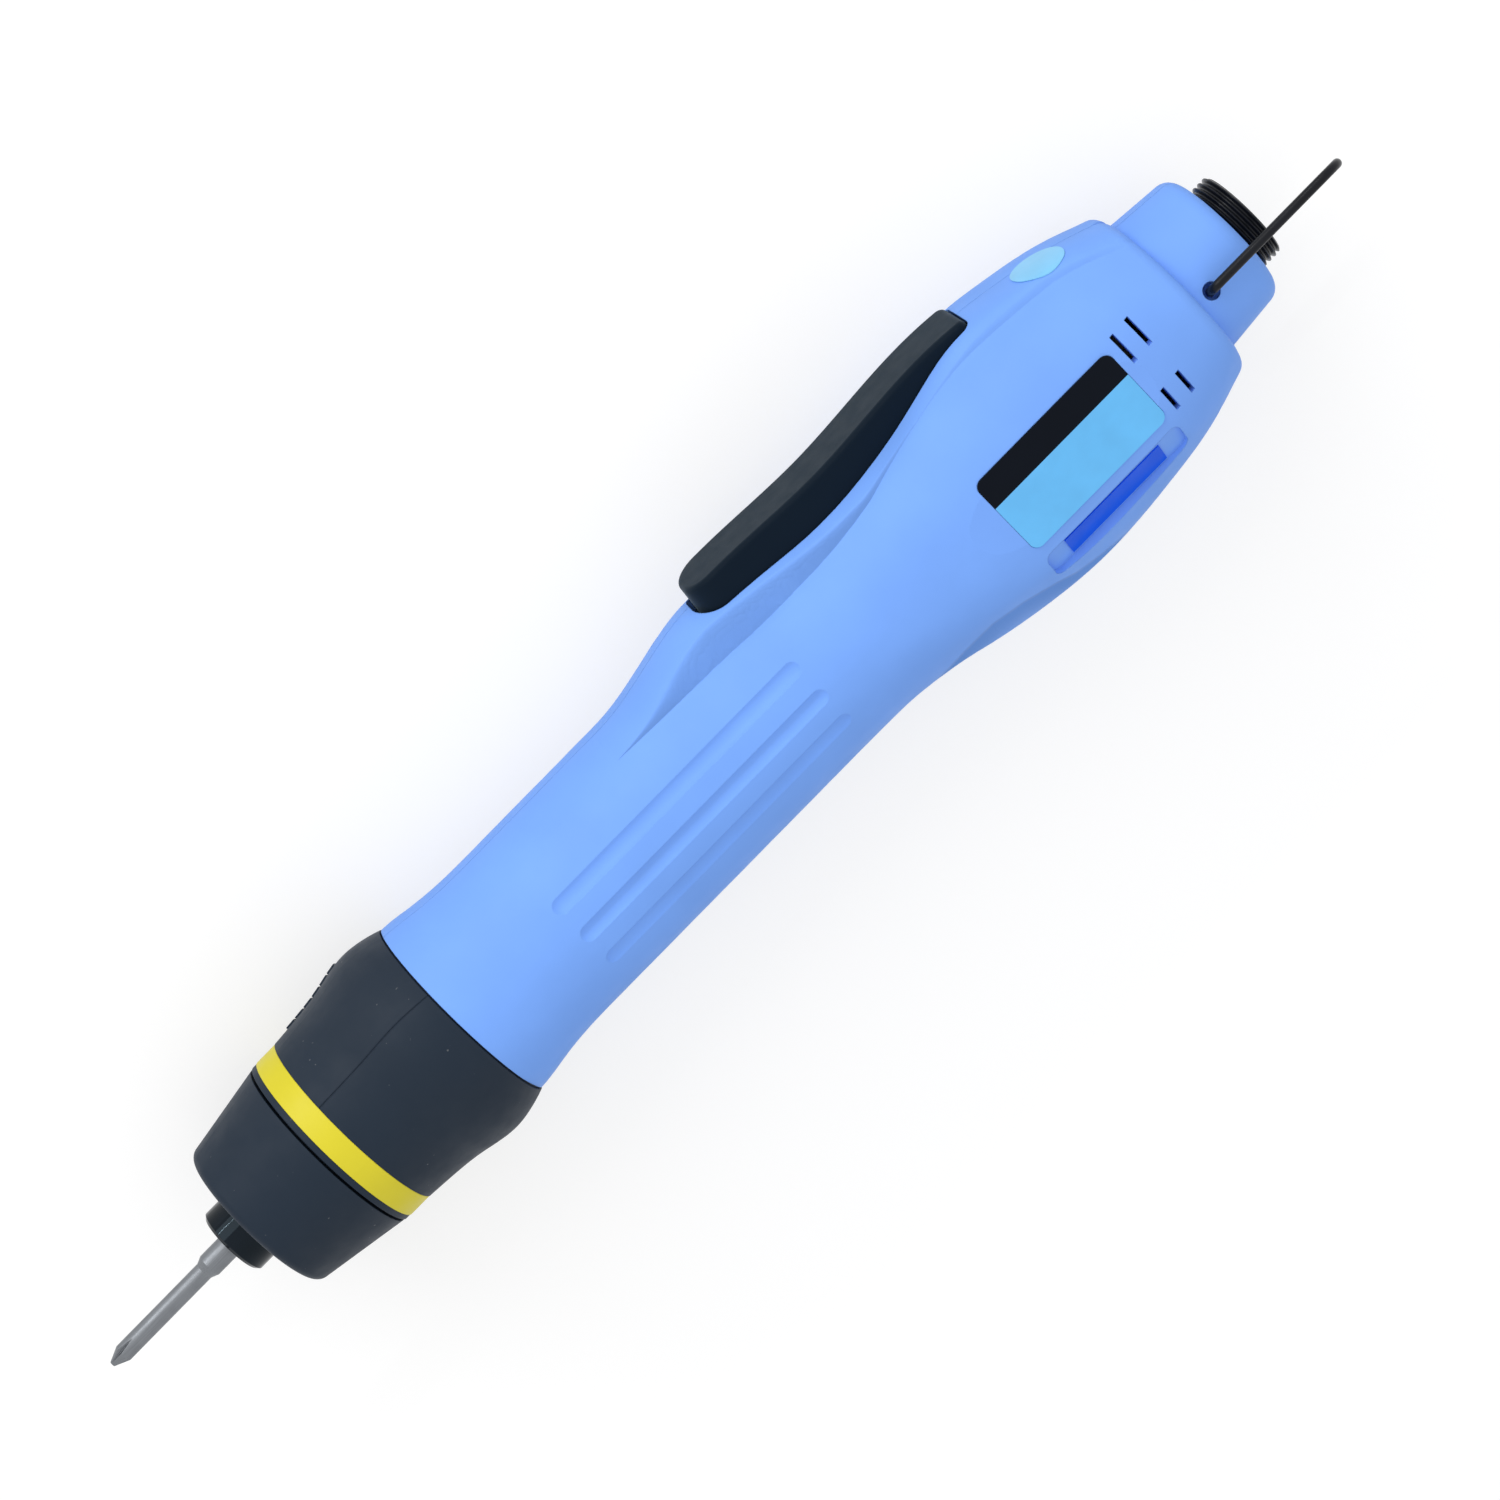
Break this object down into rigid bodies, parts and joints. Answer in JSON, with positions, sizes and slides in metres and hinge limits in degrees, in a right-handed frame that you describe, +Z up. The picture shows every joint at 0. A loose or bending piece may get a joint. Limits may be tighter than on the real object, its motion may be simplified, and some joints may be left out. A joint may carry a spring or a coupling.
{
  "type": "electric screwdriver",
  "caption": "In-line electric screwdriver with a long start lever, a turning torque ring, a quick-change bit sleeve, a cross-head bit and a threaded power socket with a wire hanging bail.",
  "frame": {"origin": "middle of the bounding box, on the plane the tool rests on when it lies on its left side", "axes": "+X along the tool axis from the bit to the power socket, +Y towards the start lever, +Z up, out of the side with the rating plate"},
  "size_m": [0.2596, 0.0436, 0.0372],
  "materials": {
    "blue_housing": "satin moulded plastic",
    "black_plastic": "satin black moulded plastic",
    "yellow_ring": "satin",
    "black_steel": "black oxide",
    "bright_steel": "ground steel",
    "spring_steel": "drawn wire",
    "case_alloy": "die cast",
    "motor_steel": "plated",
    "bronze": "sintered or turned",
    "copper": "enamelled wire",
    "magnet": "sintered",
    "board": "solder mask",
    "chip": "moulded",
    "capacitor": "sleeved can",
    "label_cyan": "printed film",
    "label_black": "printed film",
    "label_royal": "printed film"
  },
  "bodies": {
    "housing": {"right_housing": "blue_housing", "left_housing": "blue_housing", "housing_screws": "black_steel", "clutch_cover": "black_plastic", "marker_ring": "yellow_ring", "gear_case": "case_alloy", "ring_gear": "bright_steel", "clutch_pins": "bright_steel", "clutch_washer": "bright_steel", "clutch_spring": "spring_steel", "spindle_bush": "bronze", "spindle_bearing_outer": "bright_steel", "motor_front_plate": "case_alloy", "motor_can": "motor_steel", "motor_end_bell": "case_alloy", "stator_core": "motor_steel", "stator_coils": "copper", "motor_bearing_outers": "bright_steel", "hall_board": "board", "control_board": "board", "driver_chips": "chip", "filter_capacitor": "capacitor", "lever_sensor": "board", "lever_pin": "bright_steel", "lever_spring": "spring_steel", "connector_shell": "black_steel", "connector_insert": "chip", "contact_sleeves": "bronze", "rating_plate": "label_cyan", "rating_band": "label_black", "serial_plate": "label_royal", "round_sticker": "label_cyan"},
    "spindle": {"output_spindle": "bright_steel", "spindle_bearing_inner": "bright_steel", "planet_pins": "bright_steel", "screw_bit": "bright_steel", "sleeve_spring": "spring_steel", "lock_balls": "bright_steel", "sleeve_clip": "black_steel"},
    "sleeve": {"bit_sleeve": "black_steel"},
    "seat": {"spring_seat": "bright_steel"},
    "torque": {"torque_ring": "black_plastic"},
    "rotor": {"rotor_core": "motor_steel", "rotor_magnets": "magnet", "motor_shaft": "bright_steel", "motor_bearing_inners": "bright_steel", "sun_pinion": "bright_steel"},
    "planet_1": {"planet_gear_1": "bright_steel"},
    "planet_2": {"planet_gear_2": "bright_steel"},
    "planet_3": {"planet_gear_3": "bright_steel"},
    "lever": {"start_lever": "black_plastic", "lever_magnet": "magnet"},
    "bail": {"hanging_bail": "black_steel"}
  },
  "joints": [
    {"name": "rotor_spin", "type": "hinge", "parent": "housing", "child": "rotor", "pos_m": [-0.0534, -0.00085, 0.0186], "axis": [1, 0, 0], "continuous": true},
    {"name": "output_spin", "type": "hinge", "parent": "housing", "child": "spindle", "pos_m": [-0.0534, -0.00085, 0.0186], "axis": [1, 0, 0], "continuous": true},
    {"name": "planet_1_spin", "type": "hinge", "parent": "spindle", "child": "planet_1", "pos_m": [-0.0572, 0.0059, 0.0186], "axis": [1, 0, 0], "continuous": true},
    {"name": "planet_2_spin", "type": "hinge", "parent": "spindle", "child": "planet_2", "pos_m": [-0.0572, -0.00423, 0.02445], "axis": [1, 0, 0], "continuous": true},
    {"name": "planet_3_spin", "type": "hinge", "parent": "spindle", "child": "planet_3", "pos_m": [-0.0572, -0.00423, 0.01276], "axis": [1, 0, 0], "continuous": true},
    {"name": "sleeve_slide", "type": "slide", "parent": "spindle", "child": "sleeve", "axis": [1, 0, 0], "range_m": [0, 0.002], "stiffness_N_per_m": 800, "springref_m": -0.003, "deforming": ["sleeve_spring"]},
    {"name": "seat_slide", "type": "slide", "parent": "housing", "child": "seat", "axis": [-1, 0, 0], "range_m": [0, 0.003], "deforming": ["clutch_spring"]},
    {"name": "torque_turn", "type": "hinge", "parent": "seat", "child": "torque", "pos_m": [-0.0534, -0.00085, 0.0186], "axis": [-1, 0, 0], "range_deg": [0, 1080]},
    {"name": "lever_press", "type": "hinge", "parent": "housing", "child": "lever", "pos_m": [0.0685, 0.01465, 0.0186], "axis": [0, 0, 1], "range_deg": [0, 3], "stiffness_Nm_per_rad": 0.8, "springref_deg": -5.73, "deforming": ["lever_spring"]},
    {"name": "bail_swing", "type": "hinge", "parent": "housing", "child": "bail", "pos_m": [0.1024, -0.00532, 0.02034], "axis": [0, 0.3633, 0.9317], "range_deg": [-90, 90]}
  ],
  "couplings": [
    {"joint": "output_spin", "follows": "rotor_spin", "ratio": 0.22222},
    {"joint": "planet_1_spin", "follows": "rotor_spin", "ratio": -0.62222},
    {"joint": "planet_2_spin", "follows": "rotor_spin", "ratio": -0.62222},
    {"joint": "planet_3_spin", "follows": "rotor_spin", "ratio": -0.62222},
    {"joint": "torque_turn", "follows": "seat_slide", "rad_per_m": 6283.2}
  ]
}
